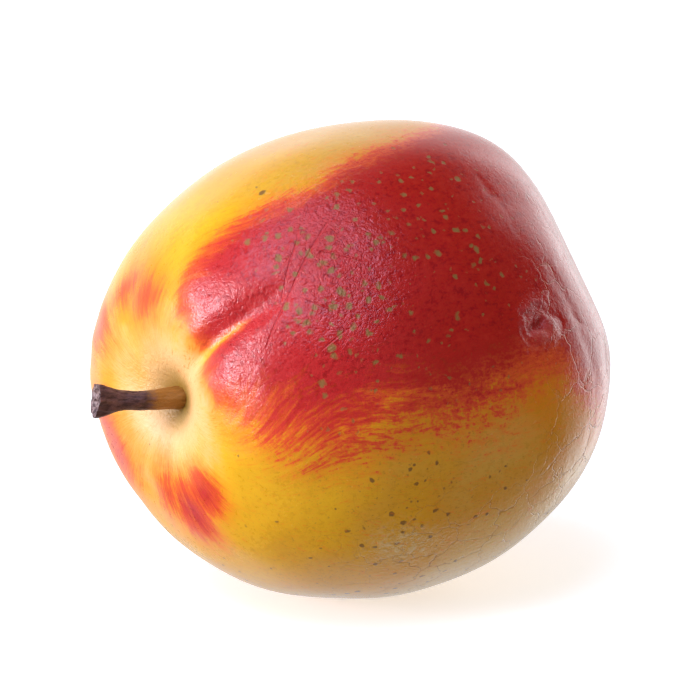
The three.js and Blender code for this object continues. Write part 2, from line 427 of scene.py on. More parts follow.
# Where the corky spots of the blush are thick: thicker at the stem's half, none near the
# stem or the blossom end, and fewer off a turn.
CORKY_FAR, CORKY_FAR_TILTS = 0.66, (80, 48)
CORKY_START, CORKY_END = (38, 50), (122, 100)
CORKY_TURN, CORKY_WIDTH, CORKY_FLATNESS = 46, 38, 0.6
paint_attribute(
    fruit, "corky",
    (CORKY_FAR + (1 - CORKY_FAR) * rise(*CORKY_FAR_TILTS, tilt))
    * rise(*CORKY_START, tilt) * rise(*CORKY_END, tilt)
    * bell(turned(turn, CORKY_TURN), CORKY_WIDTH) ** CORKY_FLATNESS)

# Where the small dark specks of the yellow are: a few all over, most on the underside.
SPECKS_LEAST, SPECKS_TILT, SPECKS_WIDTH = 0.1, 74, 36
UNDERSIDE_TURN, UNDERSIDE_RISE = 150, (0.1, 0.8)
underside = np.cos(np.radians(turned(turn, UNDERSIDE_TURN)))
paint_attribute(
    fruit, "specks",
    SPECKS_LEAST + (1 - SPECKS_LEAST) * bell(tilt - SPECKS_TILT, SPECKS_WIDTH)
    * rise(*UNDERSIDE_RISE, underside))

# Where the yellow has bleached to tan on the underside, which there is also a painted pale
# reflection of the floor, where a painted glint of the floor's reflection lies pale on the skin,
# where it has shrunk into fine creases, and where long brown cracks show. A place is a tilt and
# its half-width, then a turn and its half-width, and in the third list a strength.
ALL_ROUND = math.inf
TAN_AND_SHEEN_PLACE, PAINTED_GLINT_PLACE = (108, 28, 152, 30), (74, 8, 125, 7)
SHRUNK_PLACES = (
    (60, 18, 42, 28, 1.0),
    (8, 6, 0, ALL_ROUND, 0.5),
    (32, 10, 50, 50, 0.4),
    (92, 28, 130, 26, 0.25),
)
SHRUNK_SCAR, SHRUNK_SCAR_WIDTH = 0.7, 3.2
SHRUNK_FAR, SHRUNK_FAR_TILTS = 0.16, (95, 125)
CRACKED_PLACE, CRACKED_FAR, CRACKED_STRIP = (92, 28, 132, 26), 0.9, (104, 118, 92, 52)
# The tan underside is partly painted: it also stands for the pale reflection of the floor.
paint_attribute(fruit, "tan_and_floor_sheen", around_place(*TAN_AND_SHEEN_PLACE))
# A painted glint: a pale patch on the underside that stands for the floor's reflection.
painted_glint_patch = around_place(*PAINTED_GLINT_PLACE)
paint_attribute(fruit, "painted_glint_patch", painted_glint_patch)
shrunk = sum(place[-1] * around_place(*place[:-1]) for place in SHRUNK_PLACES)
shrunk += SHRUNK_SCAR * bell(scar_far, SHRUNK_SCAR_WIDTH)
shrunk += SHRUNK_FAR * rise(*SHRUNK_FAR_TILTS, tilt) + painted_glint_patch
paint_attribute(fruit, "shrunk", np.clip(shrunk, 0, 1))
paint_attribute(fruit, "cracked", np.clip(
    around_place(*CRACKED_PLACE) + CRACKED_FAR * along_turn(*CRACKED_STRIP), 0, 1))


class Flow:
    """A socket of a node tree. Sums and products of flows and numbers add Math nodes."""

    def __init__(self, finish, socket):
        self.finish, self.socket = finish, socket

    def maths(self, operation, *values):
        """The result of a Math node on flows and numbers."""
        return self.finish.node("ShaderNodeMath", {"operation": operation}, dict(enumerate(values)))

    def __add__(self, other):
        return self.maths("ADD", self, other)

    def __sub__(self, other):
        return self.maths("SUBTRACT", self, other)

    def __rsub__(self, other):
        return self.maths("SUBTRACT", other, self)

    def __mul__(self, other):
        return self.maths("MULTIPLY", self, other)

    def __abs__(self):
        return self.maths("ABSOLUTE", self)

    def most(self, other):
        """The greater of the two."""
        return self.maths("MAXIMUM", self, other)

    __radd__, __rmul__ = __add__, __mul__


class Finish:
    """The node tree of a material or a world, built node by node."""

    def __init__(self, owner):
        self.owner = owner
        owner.use_nodes = True
        self.tree = owner.node_tree
        self.tree.nodes.clear()

    def node(self, kind, settings=(), inputs=(), output=0):
        """Adds a node, sets its settings, then its sockets, and gives one of its outputs."""
        added = self.tree.nodes.new(kind)
        for name, value in dict(settings).items():
            setattr(added, name, value)
        for key, value in dict(inputs).items():
            if isinstance(value, Flow):
                self.tree.links.new(value.socket, added.inputs[key])
            else:
                added.inputs[key].default_value = value
        return Flow(self, added.outputs[output]) if added.outputs else None

    def attribute(self, name, output="Fac"):
        """An attribute of the mesh, as a number or as a vector."""
        return self.node("ShaderNodeAttribute", {"attribute_name": name}, (), output)

    def step(self, low, high, value):
        """0 up to low, 1 from high, smooth between, and the other way round if low > high."""
        return self.node("ShaderNodeMapRange", {"interpolation_type": "SMOOTHSTEP"},
                         {"Value": value, "From Min": low, "From Max": high})

    def scaled(self, vector, by):
        """The vector times another, part by part."""
        return self.node("ShaderNodeVectorMath", {"operation": "MULTIPLY"}, {0: vector, 1: by})

    def times(self, vector, by):
        """The vector times a number."""
        return self.node("ShaderNodeVectorMath", {"operation": "SCALE"}, {0: vector, "Scale": by})

    def moved(self, vector, by):
        """The vector plus another."""
        return self.node("ShaderNodeVectorMath", {"operation": "ADD"}, {0: vector, 1: by})

    def dot(self, vector, by):
        """The dot product of the vector and another."""
        return self.node("ShaderNodeVectorMath", {"operation": "DOT_PRODUCT"},
                         {0: vector, 1: by}, "Value")

    def noise(self, vector, scale, detail=2.0, roughness=0.5, output=0):
        """A smooth noise of about 0 to 1, with so many waves to the unit."""
        return self.node("ShaderNodeTexNoise", (), {
            "Vector": vector, "Scale": scale, "Detail": detail, "Roughness": roughness}, output)

    def swing(self, vector, kind):
        """A noise of that kind, from -0.5 to 0.5."""
        return self.noise(vector, **kind) - 0.5

    def strokes(self, vector, kind):
        """A noise of that kind from -0.5 to 0.5, drawn out along the vector's third part."""
        stretch, kind = kind
        return self.swing(self.scaled(vector, (1.0, 1.0, stretch)), kind)

    def warped(self, vector, warp):
        """The vector moved about by a coloured noise of a scale, over a distance."""
        scale, by = warp
        swing = self.moved(self.noise(vector, scale, output="Color"), (-0.5, -0.5, -0.5))
        return self.moved(vector, self.times(swing, by))

    def cells(self, vector, scale, feature="F1", output="Distance"):
        """The distance from the middle or the edge of a cell, or the cell's own colour."""
        return self.node("ShaderNodeTexVoronoi", {"feature": feature},
                         {"Vector": vector, "Scale": scale}, output)

    def mix(self, factor, first, second):
        """From the first colour to the second by the factor."""
        return self.node("ShaderNodeMix", {"data_type": "RGBA"},
                         {0: factor, 6: first, 7: second}, 2)

    def part(self, vector, axis):
        """One of the vector's three parts."""
        return self.node("ShaderNodeSeparateXYZ", (), {0: vector}, axis)

    def surface(self, **inputs):
        """Ends the tree in a Principled surface with those sockets."""
        shader = self.node("ShaderNodeBsdfPrincipled", (),
                           {name.replace("_", " "): value for name, value in inputs.items()})
        self.node("ShaderNodeOutputMaterial", (), {"Surface": shader})
        return self.owner


def colour(red, green, blue):
    """A linear colour with full alpha."""
    return (red, green, blue, 1.0)


YELLOW = colour(0.72, 0.37, 0.008)
MUSTARD = colour(0.61, 0.225, 0.002)
# Tan skin, which on the underside also stands for a painted pale reflection of the floor.
TAN = colour(0.64, 0.385, 0.075)
TAWNY = colour(0.44, 0.17, 0.004)
PALE_YELLOW = colour(0.82, 0.47, 0.20)
ORANGE = colour(0.74, 0.15, 0.006)
SCARLET = colour(0.66, 0.034, 0.018)
RED = colour(0.46, 0.008, 0.020)
DEEP_RED = colour(0.39, 0.002, 0.005)
DARK_RED = colour(0.22, 0.003, 0.006)
CORK = colour(0.21, 0.125, 0.018)
# A painted glint: the pale tone of the floor's reflection on the underside.
PAINTED_GLINT = colour(0.66, 0.46, 0.20)
# Pale scar skin, which also stands for a painted sheen round the scar.
SCAR_PALE_SHEEN = colour(0.52, 0.14, 0.13)
SPECK = colour(0.11, 0.05, 0.022)
CRACK = colour(0.30, 0.12, 0.02)
# Olive brown, which at the bottom of the stem cavity is also painted shade.
OLIVE_AND_SHADE = colour(0.27, 0.15, 0.006)
SCAR_RED = colour(0.30, 0.006, 0.004)

# The noises of the skin, each with its scale in 1/mm. A stroke is a noise that changes
# only that share as fast along the grain as across it. A warp is a scale and a distance.
BLOTCHES = {"scale": 0.11, "detail": 3}
MOTTLE = {"scale": 1.1, "detail": 4, "roughness": 0.7}
GRIT = {"scale": 3.0, "detail": 3, "roughness": 0.7}
CLOUDS = {"scale": 0.055, "detail": 4, "roughness": 0.55}
CRUMPLES = {"scale": 0.75, "detail": 4, "roughness": 0.62}
FINE_GRAIN = {"scale": 3.2, "detail": 2, "roughness": 0.6}
DUST = {"scale": 2.6, "detail": 2}
CREASE_PATCHES = {"scale": 0.30, "detail": 2}
BUNDLES = (0.10, {"scale": 0.50, "detail": 2})
STROKES = (0.20, {"scale": 1.9, "detail": 3, "roughness": 0.65})
FINE_STROKES = (0.24, {"scale": 4.6, "detail": 3, "roughness": 0.65})
GRAIN_WARP, MARK_WARP = (0.12, 3.0), (0.9, 0.8)

# How much each noise counts in a streak, and what changes in the fruit's far half.
STREAK_SHARES = {"bundles": 1.4, "strokes": 1.9, "fine": 1.5}
MOTTLE_SHARE, GRIT_SHARE = 1.0, 1.2
FAR_HALF, FAR_STREAKS, FAR_MOTTLE, FAR_GRIT = (62, 84), 0.40, 1.1, 0.3

# The blush sets in over these depths in mm: its red, the full strength of that red, the
# orange veil round it, and the cooler red inside. It is deepest past some tilts.
RED_EDGE, FULL_EDGE, VEIL_EDGE, INNER_EDGE = (-0.8, 1.0), (-0.3, 4.2), (-3.8, 1.5), (0.8, 4.4)
RED_BLOTCH, RED_RAGGED_BLOTCH = 0.9, 0.7
FULL_BLOTCH, FULL_STREAK = 2.0, 1.9
VEIL_BLOTCH, VEIL_STREAK = 4.0, 1.2
INNER_BLOTCH, INNER_STREAK = 3.0, 2.8
DEEP_TILTS, DEEP_BLOTCH, DEEP_STREAK = (40, 100), 50, 12
VEIL_STRENGTH, RED_LEAST, RED_MORE = 0.80, 0.54, 0.40

# Layers that show where a mixture of noises is past an edge: the edge, the strength and
# the mixture. Darker and brighter strokes and a dark mottle lie in the red, and a tawny
# mottle from some tilts on and orange ticks lie in the yellow.
DARK_STROKES = ((0.05, -0.16), 0.55, {"fine": 1, "mottle": 0.5, "grit": 0.6})
BRIGHT_STROKES = ((0.02, 0.26), 0.18, {"strokes": 0.7, "mottle": 0.8})
DARK_MOTTLE = ((0.0, -0.20), 0.55, {"strokes": 0.5, "mottle": 1, "grit": 0.4})
TAWNY_MOTTLE, TAWNY_TILTS = ((0.02, -0.24), 0.40, {"mottle": 1, "fine": 0.6}), (20, 40)
TICKS = ((0.08, 0.20), 0.55, {"strokes": 0.6, "fine": 1})

# The ground turns from yellow to mustard over these tilts, to tan in clouds, more so on the
# underside, where the tan is also a painted pale reflection of the floor, and is pale round the
# stem.
RIPE_TILTS, RIPE_BLOTCH = (34, 100), 60
TAN_CLOUDS, TAN_SHRUNK, TAN_AND_SHEEN, TAN_STRENGTH = (-0.06, 0.30), 0.12, 0.3, 0.8
PALE_TILTS, PALE_FINE, PALE_STROKES, PALE_BLOTCH, PALE_STRENGTH = (25, 9), 14, 12, 30, 0.85

# Corky spots: the warps that make them crooked and the cells to the mm, their size in
# cells, which grows with a number of the cell's own, and their soft edge.
SPOT_WARPS, SPOT_SCALE = ((0.7, 1.2), (2.0, 0.5)), 0.68
SPOT_SIZE, SPOT_SPREAD, SPOT_CUT = 0.15, 0.36, 0.05
SPOT_EDGE, SPOT_STRENGTH, SPOT_DEPTHS = (0.12, -0.11), 0.78, (0.0, 2.0)
# The same for the dark specks of the yellow, then the dust between them.
SPECK_SHIFT, SPECK_WARP, SPECK_SCALE = (31.0, 17.0, 5.0), (0.8, 1.0), 0.50
SPECK_SIZE, SPECK_SPREAD, SPECK_CUT = 0.17, 0.13, 0.10
SPECK_EDGE, SPECK_STRENGTH, SPECK_DEPTHS = (0.06, -0.03), 0.75, (1.0, -2.5)
DUST_LEVELS, DUST_STRENGTH = (0.61, 0.72), 0.40

MARK = (59.0, 9.0)  # tilt and turn of a dark mark
MARK_EDGE, MARK_STRENGTH = (0.62, 0.36), 0.8  # its distances in mm, and how dark it is

# Olive brown, darkened there as painted shade, covers the bottom of the stem cavity over these
# tilts. The scar is pale, partly as a painted sheen, and dark red in its middle, over these
# distances in mm. Each has its mottle and strength.
OLIVE_SHADE_TILTS, OLIVE_SHADE_BLOTCH, OLIVE_SHADE_STRENGTH = (12, 3), 8, 0.85
SCAR_SHEEN_EDGE, SCAR_SHEEN_MOTTLE, SCAR_SHEEN_STRENGTH = (4.2, 1.4), 7, 0.26
SCAR_RED_EDGE, SCAR_RED_MOTTLE, SCAR_RED_STRENGTH = (1.5, 0.5), 3, 0.8
# Rings of wrinkles round the scar: radians to the mm, their mottle, and where they fade.
RINGS, RING_MOTTLE, RING_EDGE = 5.5, 4.0, (4.6, 2.2)

# Long straight scratches in the blush, each from one tilt and turn to another. Their edge
# and their bend are shares of the fruit's radius, and their end is a cosine.
SCRATCHES = (
    ((65, 31), (39, 59)),
    ((57, 31), (46, 46)),
    ((51, 48), (57, 56)),
    ((52, 65), (60, 61)),
    ((60, 38), (68, 46)),
)
SCRATCH_EDGE, SCRATCH_END, SCRATCH_BEND, SCRATCH_STRENGTH = (0.0055, 0.0015), 0.002, 0.006, 0.45

# The nets of creases: their warp, cells to the mm, and half-width in cells. The cracks
# follow the wide net, and are fainter outside patches and in the red.
WIDE_WARP, WIDE_NET, WIDE_HALF = (0.35, 3.2), 0.18, 0.024
SMALL_WARP, SMALL_NET, SMALL_HALF = (1.3, 1.0), 1.15, 0.12
CREASE_PATCH_LEVELS = (0.40, 0.60)
CRACK_LEAST, CRACK_STRENGTH, CRACK_LOSS_IN_RED = 0.5, 0.8, 0.4
# The painted glint: where in the crumple its pale tone shows, and how strongly.
PAINTED_GLINT_CRUMPLE, PAINTED_GLINT_STRENGTH = (0.0, 0.14), 0.7

# Heights in mm, and the roughness of the skin.
WIDE_DEPTH, SMALL_DEPTH, CRUMPLE_HEIGHT = 0.030, 0.035, 0.65
MOTTLE_HEIGHT, GRAIN_HEIGHT, RING_HEIGHT = 0.03, 0.012, 0.025
SCRATCH_DEPTH, SPOT_DEPTH, SPECK_HEIGHT, CRACK_DEPTH = 0.06, 0.015, 0.015, 0.045
GLOSS, GLOSS_SPOTS, GLOSS_MOTTLE = 0.23, 0.25, 0.12
LOBE_TILTS, GLOSS_LOBES, CAVITY_TILTS, GLOSS_CAVITY = (56, 36), 0.06, (26, 14), 0.14
SKIN_IOR = 1.5


def skin_finish():
    """Yellow skin under a red blush that ends in strokes along the fruit, with corky
    spots, dark specks, scratches and fine creases."""
    skin = Finish(bpy.data.materials.new("skin"))
    object_place = skin.node("ShaderNodeTexCoord", (), (), "Object")
    place = skin.times(object_place, 1 / MM)
    grain = skin.warped(skin.attribute("grain", "Vector"), GRAIN_WARP)
    blush = skin.attribute("blush")
    tilt_here = skin.attribute("tilt")
    shrunk = skin.attribute("shrunk")
    ragged = skin.attribute("ragged")
    scar_far = skin.part(skin.attribute("scar", "Vector"), 2)

    # The blush: broad blotches, then bundles of strokes, long strokes and fine ones. Each
    # is from -0.5 to 0.5, and the strokes count for as much as the edge is ragged.
    blotch = skin.swing(place, BLOTCHES)
    bundles = skin.strokes(grain, BUNDLES)
    strokes = skin.strokes(grain, STROKES)
    fine = skin.strokes(grain, FINE_STROKES)
    mottle = skin.swing(place, MOTTLE)
    grit = skin.swing(place, GRIT)
    noises = {"bundles": bundles, "strokes": strokes, "fine": fine, "mottle": mottle, "grit": grit}

    def mixture(shares):
        """The sum of the noises, each times its share."""
        return sum(noises[name] * share for name, share in shares.items())

    def layer(look):
        """The strength of a look where its mixture is past its edge, and 0 elsewhere."""
        edge_of_layer, strength, shares = look
        return skin.step(*edge_of_layer, mixture(shares)) * strength

    far_half = skin.step(*FAR_HALF, tilt_here)
    streak = mixture(STREAK_SHARES) * (1 - far_half * FAR_STREAKS)
    streak = streak + mottle * (far_half * FAR_MOTTLE + MOTTLE_SHARE)
    streak = streak + grit * (far_half * FAR_GRIT + GRIT_SHARE)
    red = skin.step(
        *RED_EDGE, blush + blotch * (ragged * RED_RAGGED_BLOTCH + RED_BLOTCH) + streak * ragged)
    full = skin.step(*FULL_EDGE, blush + blotch * FULL_BLOTCH + streak * ragged * FULL_STREAK)
    veil = skin.step(*VEIL_EDGE, blush + blotch * VEIL_BLOTCH
                     + (bundles + strokes + mottle) * ragged * VEIL_STREAK)
    inner = skin.step(*INNER_EDGE, blush + blotch * INNER_BLOTCH + streak * INNER_STREAK)
    deep = skin.step(*DEEP_TILTS, tilt_here + blotch * DEEP_BLOTCH + streak * DEEP_STREAK) * inner

    # The ground: yellow near the stem, mustard further on, tan in clouds underneath with a painted
    # floor reflection.
    ripe = skin.step(*RIPE_TILTS, tilt_here + blotch * RIPE_BLOTCH)
    ground = skin.mix(ripe, YELLOW, MUSTARD)
    # More tan on the underside, partly a painted reflection of the floor.
    tan = skin.step(*TAN_CLOUDS, skin.swing(place, CLOUDS) + shrunk * TAN_SHRUNK
                    + skin.attribute("tan_and_floor_sheen") * TAN_AND_SHEEN)
    ground = skin.mix(tan * TAN_STRENGTH * ripe, ground, TAN)
    pale = skin.step(*PALE_TILTS, tilt_here + fine * PALE_FINE + strokes * PALE_STROKES
                     + blotch * PALE_BLOTCH)
    ground = skin.mix(pale * PALE_STRENGTH, ground, PALE_YELLOW)
    tone = skin.mix(veil * VEIL_STRENGTH, ground, ORANGE)
    reds = skin.mix(deep, skin.mix(inner, SCARLET, RED), DEEP_RED)
    tone = skin.mix(red * (full * RED_MORE + RED_LEAST), tone, reds)

    # Strokes of darker and brighter red, and a dark mottle, within the blush.
    tone = skin.mix(layer(DARK_STROKES) * red, tone, DEEP_RED)
    tone = skin.mix(layer(BRIGHT_STROKES) * inner, tone, SCARLET)
    tone = skin.mix(layer(DARK_MOTTLE) * inner, tone, DARK_RED)

    # Corky spots of the blush: crooked, and larger where they are thick.
    crooked = skin.warped(skin.warped(place, SPOT_WARPS[0]), SPOT_WARPS[1])
    spot_kind = skin.part(skin.cells(crooked, SPOT_SCALE, output="Color"), 0)
    spot_size = skin.attribute("corky") * (SPOT_SIZE + spot_kind * SPOT_SPREAD) - SPOT_CUT
    spots = skin.step(*SPOT_EDGE, skin.cells(crooked, SPOT_SCALE) - spot_size)
    tone = skin.mix(spots * SPOT_STRENGTH * skin.step(*SPOT_DEPTHS, blush), tone, CORK)

    # Dark specks of the yellow, with fine dust between them, a mottle and orange ticks.
    scattered = skin.warped(skin.moved(place, SPECK_SHIFT), SPECK_WARP)
    speck_kind = skin.part(skin.cells(scattered, SPECK_SCALE, output="Color"), 1)
    speck_size = skin.attribute("specks") * SPECK_SIZE + speck_kind * SPECK_SPREAD - SPECK_CUT
    specks = skin.step(*SPECK_EDGE, skin.cells(scattered, SPECK_SCALE) - speck_size)
    tone = skin.mix(specks * SPECK_STRENGTH * skin.step(*SPECK_DEPTHS, blush), tone, SPECK)
    dusty = skin.step(*DUST_LEVELS, skin.noise(place, **DUST)) * skin.attribute("specks")
    tone = skin.mix(dusty * DUST_STRENGTH * (1 - red), tone, SPECK)
    tawny = layer(TAWNY_MOTTLE) * (1 - red) * skin.step(*TAWNY_TILTS, tilt_here)
    tone = skin.mix(tawny, tone, TAWNY)
    tone = skin.mix(layer(TICKS) * (1 - red), tone, ORANGE)

    # Olive brown and painted shade at the bottom of the stem cavity, the scar with a painted sheen,
    # and one dark mark.
    # Painted shade: the bottom of the stem cavity darkened to olive brown over its olive tint.
    olive_and_shade = skin.step(*OLIVE_SHADE_TILTS, tilt_here + blotch * OLIVE_SHADE_BLOTCH)
    tone = skin.mix(olive_and_shade * OLIVE_SHADE_STRENGTH, tone, OLIVE_AND_SHADE)
    # Pale scar skin round the pit, partly a painted sheen.
    scar_pale_sheen = skin.step(*SCAR_SHEEN_EDGE, scar_far + mottle * SCAR_SHEEN_MOTTLE)
    tone = skin.mix(scar_pale_sheen * SCAR_SHEEN_STRENGTH, tone, SCAR_PALE_SHEEN)
    scar_red = skin.step(*SCAR_RED_EDGE, scar_far + mottle * SCAR_RED_MOTTLE)
    tone = skin.mix(scar_red * SCAR_RED_STRENGTH, tone, SCAR_RED)
    mark_place = fruit_middle / MM + direction(*MARK) * skin_distance(*MARK)
    mark_far = skin.node("ShaderNodeVectorMath", {"operation": "DISTANCE"},
                         {0: skin.warped(place, MARK_WARP), 1: mark_place}, "Value")
    tone = skin.mix(skin.step(*MARK_EDGE, mark_far) * MARK_STRENGTH, tone, SPECK)

    # Fine creases, as grooves: a wide net and a narrow one, both crooked.
    wide_net = skin.step(WIDE_HALF, 0.0, skin.cells(
        skin.warped(place, WIDE_WARP), WIDE_NET, "DISTANCE_TO_EDGE"))
    small_net = skin.step(SMALL_HALF, 0.0, skin.cells(
        skin.warped(place, SMALL_WARP), SMALL_NET, "DISTANCE_TO_EDGE"))
    patchy = skin.step(*CREASE_PATCH_LEVELS, skin.noise(place, **CREASE_PATCHES))
    cracks = wide_net * skin.attribute("cracked") * (patchy * (1 - CRACK_LEAST) + CRACK_LEAST)
    tone = skin.mix(cracks * (1 - red * CRACK_LOSS_IN_RED) * CRACK_STRENGTH, tone, CRACK)

    # Scratches: near the plane through both ends and the fruit's middle, and between them.
    middle = skin.node("ShaderNodeVectorMath", {"operation": "NORMALIZE"},
                       {0: skin.moved(object_place, tuple(-fruit_middle))})
    bend = blotch * SCRATCH_BEND
    scratches = None
    for start, end in SCRATCHES:
        first, last = direction(*start), direction(*end)
        normal = np.cross(first, last)
        normal /= np.linalg.norm(normal)
        centre = (first + last) / np.linalg.norm(first + last)
        reach = float(centre @ first)
        across = skin.step(*SCRATCH_EDGE, abs(skin.dot(middle, normal) + bend))
        within = skin.step(reach - SCRATCH_END, reach + SCRATCH_END, skin.dot(middle, centre))
        scratch = across * within
        scratches = scratch if scratches is None else scratches.most(scratch)
    tone = skin.mix(scratches * SCRATCH_STRENGTH, tone, DEEP_RED)

    # Rings of fine wrinkles round the scar, crumpled skin with a painted glint in one patch, and a
    # grain all over.
    waves_out = skin.node("ShaderNodeMath", {"operation": "SINE"},
                          {0: scar_far * RINGS + mottle * RING_MOTTLE})
    rings = waves_out * skin.step(*RING_EDGE, scar_far)
    crumple = abs(skin.swing(place, CRUMPLES))
    # A painted glint of the floor's reflection: pale skin in the crumple of one patch.
    painted_glint = skin.attribute("painted_glint_patch") * skin.step(*PAINTED_GLINT_CRUMPLE, crumple)
    tone = skin.mix(painted_glint * PAINTED_GLINT_STRENGTH, tone, PAINTED_GLINT)
    grainy = skin.noise(place, **FINE_GRAIN)
    height = wide_net * -WIDE_DEPTH + small_net * -SMALL_DEPTH * patchy + crumple * CRUMPLE_HEIGHT
    height = height * shrunk + mottle * MOTTLE_HEIGHT + grainy * GRAIN_HEIGHT
    height = height - scratches * SCRATCH_DEPTH - spots * SPOT_DEPTH + specks * SPECK_HEIGHT
    height = height + rings * RING_HEIGHT - cracks * CRACK_DEPTH
    normal = skin.node("ShaderNodeBump", (), {"Strength": 1.0, "Distance": MM, "Height": height})
    gloss = GLOSS + spots * GLOSS_SPOTS + mottle * GLOSS_MOTTLE
    gloss = gloss + skin.step(*LOBE_TILTS, tilt_here) * GLOSS_LOBES
    gloss = gloss + skin.step(*CAVITY_TILTS, tilt_here) * GLOSS_CAVITY
    return skin.surface(Base_Color=tone, Roughness=gloss, IOR=SKIN_IOR, Normal=normal)


fruit.data.materials.append(skin_finish())
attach(fruit, "root")
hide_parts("fruit")

# --------------------------------------------------
# The stem: a short length of woody stalk, golden where it leaves the flesh and
# dark bark further out. It flares at the end, where it broke from the twig.
# --------------------------------------------------

# Its centre line from inside the flesh to the broken end, in mm from the fruit's middle,
# and its radius at even steps along the way.
STEM_LINE = ((-24.6, -0.1, -0.5), (-28.2, 0.15, -0.2), (-34.3, 1.2, 0.3), (-38.4, 2.4, 0.95))
STEM_KNOTS = (0.0, 0.25, 0.7, 1.0)
STEM_RADII = (1.75, 1.65, 1.5, 1.38, 1.3, 1.25, 1.25, 1.35, 1.8, 2.3)
RADIUS_ROUNDING = 0.04  # the radius is averaged over this share of the way to each side
STEM_RINGS, STEM_COLUMNS = 150, 96
FOOT_RINGS, FOOT_RADIUS = 6, 0.1  # rings that close the end in the flesh, and the least one
END_RINGS, END_RADIUS = 26, 0.03  # the same for the broken end

# The bark, as shares of the radius: knobs, ridges, fine ridges, and lobes and nicks of the
# flare with the part of the way over which they set in.
KNOBS, RIDGES, FINE_RIDGES = 0.09, 0.022, 0.014
LOBES, LOBES_FROM, NICKS, NICKS_FROM = 0.07, 0.8, 0.04, 0.85
# The broken end: how far it is sunk and how high its lumps are, in mm, and over what share
# of its radius both set in.
HOLLOW, HOLLOW_EDGE, LUMPS, LUMPS_EDGE = 0.55, 0.5, 0.12, 0.2


def stem_surface():
    """Rings of a rod along a cubic through STEM_LINE. Its radius follows STEM_RADII with
    knobs sin(2a + 5t) sin(9t + a) and ridges sin(9a + 6 sin 5t) along the bark, for the turn
    a and the share t of the way. The rings close over each end; the broken end is hollow."""
    t = np.concatenate([np.zeros(FOOT_RINGS), np.linspace(0, 1, STEM_RINGS), np.ones(END_RINGS)])
    out = np.concatenate([np.linspace(FOOT_RADIUS, 1, FOOT_RINGS), np.ones(STEM_RINGS),
                          np.linspace(1, END_RADIUS, END_RINGS)])
    angle = np.linspace(0, 2 * np.pi, STEM_COLUMNS, endpoint=False)
    curve = np.polyfit(STEM_KNOTS, np.array(STEM_LINE), 3)
    centre = np.stack([np.polyval(curve[:, k], t) for k in range(3)], axis=-1)
    ahead = np.stack([np.polyval(np.polyder(curve[:, k]), t) for k in range(3)], axis=-1)
    ahead /= np.linalg.norm(ahead, axis=-1, keepdims=True)
    side = np.cross([0.0, 0.0, 1.0], ahead)
    side /= np.linalg.norm(side, axis=-1, keepdims=True)
    top = np.cross(ahead, side)
    steps = np.linspace(0, 1, len(STEM_RADII))
    radius = sum(np.interp(t + s, steps, STEM_RADII)
                 for s in (-RADIUS_ROUNDING, 0, RADIUS_ROUNDING)) / 3
    t, a = t[:, None], angle[None, :]
    bark = 1 + KNOBS * np.sin(2 * a + 5 * t) * np.sin(9 * t + a)
    bark += RIDGES * np.sin(9 * a + 6 * np.sin(5 * t)) + FINE_RIDGES * np.sin(17 * a - 9 * t)
    bark += LOBES * rise(LOBES_FROM, 1, t) * np.sin(5 * a + 1)
    bark += NICKS * rise(NICKS_FROM, 1, t) * np.sin(11 * a)
    reach_out = out[:, None] * radius[:, None] * bark
    end = np.broadcast_to((1 - out[:, None]) * (t > 0.5), reach_out.shape)
    lumps = LUMPS * np.sin(7 * a + 9 * end) * rise(0, LUMPS_EDGE, end)
    sunk = lumps - HOLLOW * rise(0, HOLLOW_EDGE, end)
    points = centre[:, None] + reach_out[..., None] * (
        side[:, None] * np.cos(a)[..., None] + top[:, None] * np.sin(a)[..., None])
    points = points + ahead[:, None] * sunk[..., None]
    return points, np.broadcast_to(t, reach_out.shape), end


stem_points, stem_along, stem_end = stem_surface()
stem_points = fruit_middle + stem_points * MM
STEM_LOW, STEM_HIGH = (np.array(corner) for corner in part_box("stem"))
stem_points = np.clip(stem_points, STEM_LOW, STEM_HIGH)
stem = closed_mesh("stem_bark", with_poles(stem_points))
paint_attribute(stem, "along", with_poles(stem_along))
paint_attribute(stem, "broken", with_poles(stem_end))

BARK_DARK = colour(0.055, 0.018, 0.016)
BARK = colour(0.15, 0.06, 0.055)
BARK_GOLD = colour(0.36, 0.13, 0.012)
BARK_GREY = colour(0.30, 0.20, 0.18)

# The ridges of the bark, drawn out along the stem, and where each tone shows: as levels of
# the ridges, shares of the way along the stem, and shares of the broken end's radius.
BARK_STRETCH, BARK_RIDGES = (0.35, 1.0, 1.0), {"scale": 2.2, "detail": 4, "roughness": 0.6}
BARK_LEVELS, GREY_LEVELS = (0.35, 0.65), (0.4, 0.6)
GOLD_END, GOLD_RAGGED, BROKEN_EDGE = (0.54, 0.40), 0.2, (0.02, 0.2)
BARK_HEIGHT, BARK_ROUGHNESS = 0.25, 0.5


def bark_finish():
    """Dark purple brown bark, golden at the flesh, with a greyer broken end."""
    bark = Finish(bpy.data.materials.new("bark"))
    place = bark.times(bark.node("ShaderNodeTexCoord", (), (), "Object"), 1 / MM)
    ridges = bark.noise(bark.scaled(place, BARK_STRETCH), **BARK_RIDGES)
    tone = bark.mix(bark.step(*BARK_LEVELS, ridges), BARK_DARK, BARK)
    gold = bark.step(*GOLD_END, bark.attribute("along") + (ridges - 0.5) * GOLD_RAGGED)
    tone = bark.mix(gold, tone, BARK_GOLD)
    grey = bark.step(*BROKEN_EDGE, bark.attribute("broken")) * bark.step(*GREY_LEVELS, ridges)
    tone = bark.mix(grey, tone, BARK_GREY)
    normal = bark.node("ShaderNodeBump", (), {
        "Strength": 1.0, "Distance": MM, "Height": ridges * BARK_HEIGHT})
    return bark.surface(Base_Color=tone, Roughness=BARK_ROUGHNESS, Normal=normal)


stem.data.materials.append(bark_finish())
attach(stem, "root")
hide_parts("stem")

# --------------------------------------------------
# The studio: a wide white floor and square soft lights in a white surround. The key light
# at the stem's side has a bright core and a dim spread; one light is above, and one
# behind on the right.
# --------------------------------------------------

